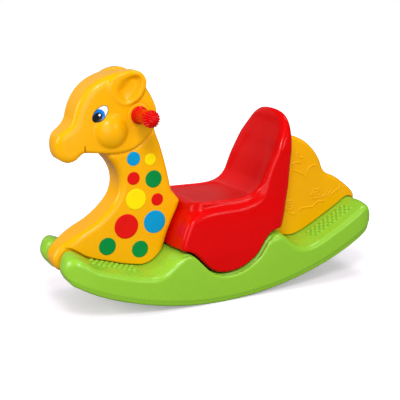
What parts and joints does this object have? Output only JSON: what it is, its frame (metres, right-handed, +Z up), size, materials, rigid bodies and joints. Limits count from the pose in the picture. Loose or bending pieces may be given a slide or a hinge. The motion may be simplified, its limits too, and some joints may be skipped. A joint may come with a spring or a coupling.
{
  "type": "ride-on rocker",
  "caption": "Toddler ride-on rocker shaped as a giraffe: curved rocker base with footrests, saddle seat with backrest, neck and head with a grip bar, tail piece.",
  "frame": {"origin": "centre of the bounding box in plan, on the floor under the rockers", "axes": "+Z up; the giraffe faces -Y; +X is the giraffe's own left-hand side, along the grip bar"},
  "size_m": [0.254, 0.7822, 0.524],
  "materials": {
    "lime_plastic": "satin moulded polyethylene",
    "orange_plastic": "satin moulded polyethylene",
    "red_plastic": "satin moulded polyethylene",
    "sticker_blue": "printed vinyl",
    "sticker_yellow": "printed vinyl",
    "sticker_red": "printed vinyl",
    "sticker_green": "printed vinyl",
    "sticker_eye": "printed vinyl",
    "zinc_steel": "bright zinc plate"
  },
  "bodies": {
    "root": {"rocker_base": "lime_plastic", "giraffe_front": "orange_plastic", "seat": "red_plastic", "giraffe_tail": "orange_plastic", "handle_grip_left": "red_plastic", "handle_grip_right": "red_plastic", "handle_spindle": "zinc_steel", "dot_left_10_green": "sticker_green", "dot_left_1_blue": "sticker_blue", "dot_left_2_yellow": "sticker_yellow", "dot_left_3_red": "sticker_red", "dot_left_4_green": "sticker_green", "dot_left_5_yellow": "sticker_yellow", "dot_left_6_red": "sticker_red", "dot_left_7_blue": "sticker_blue", "dot_left_8_red": "sticker_red", "dot_left_9_green": "sticker_green", "dot_right_10_green": "sticker_green", "dot_right_1_blue": "sticker_blue", "dot_right_2_yellow": "sticker_yellow", "dot_right_3_red": "sticker_red", "dot_right_4_green": "sticker_green", "dot_right_5_yellow": "sticker_yellow", "dot_right_6_red": "sticker_red", "dot_right_7_blue": "sticker_blue", "dot_right_8_red": "sticker_red", "dot_right_9_green": "sticker_green", "eye_left": "sticker_eye", "eye_right": "sticker_eye", "front_screw_1": "zinc_steel", "front_screw_2": "zinc_steel", "front_washer_1": "zinc_steel", "front_washer_2": "zinc_steel", "seat_screw_1": "zinc_steel", "seat_screw_2": "zinc_steel", "seat_screw_3": "zinc_steel", "seat_screw_4": "zinc_steel", "seat_washer_1": "zinc_steel", "seat_washer_2": "zinc_steel", "seat_washer_3": "zinc_steel", "seat_washer_4": "zinc_steel", "tail_screw_1": "zinc_steel", "tail_screw_2": "zinc_steel", "tail_washer_1": "zinc_steel", "tail_washer_2": "zinc_steel"}
  },
  "joints": []
}
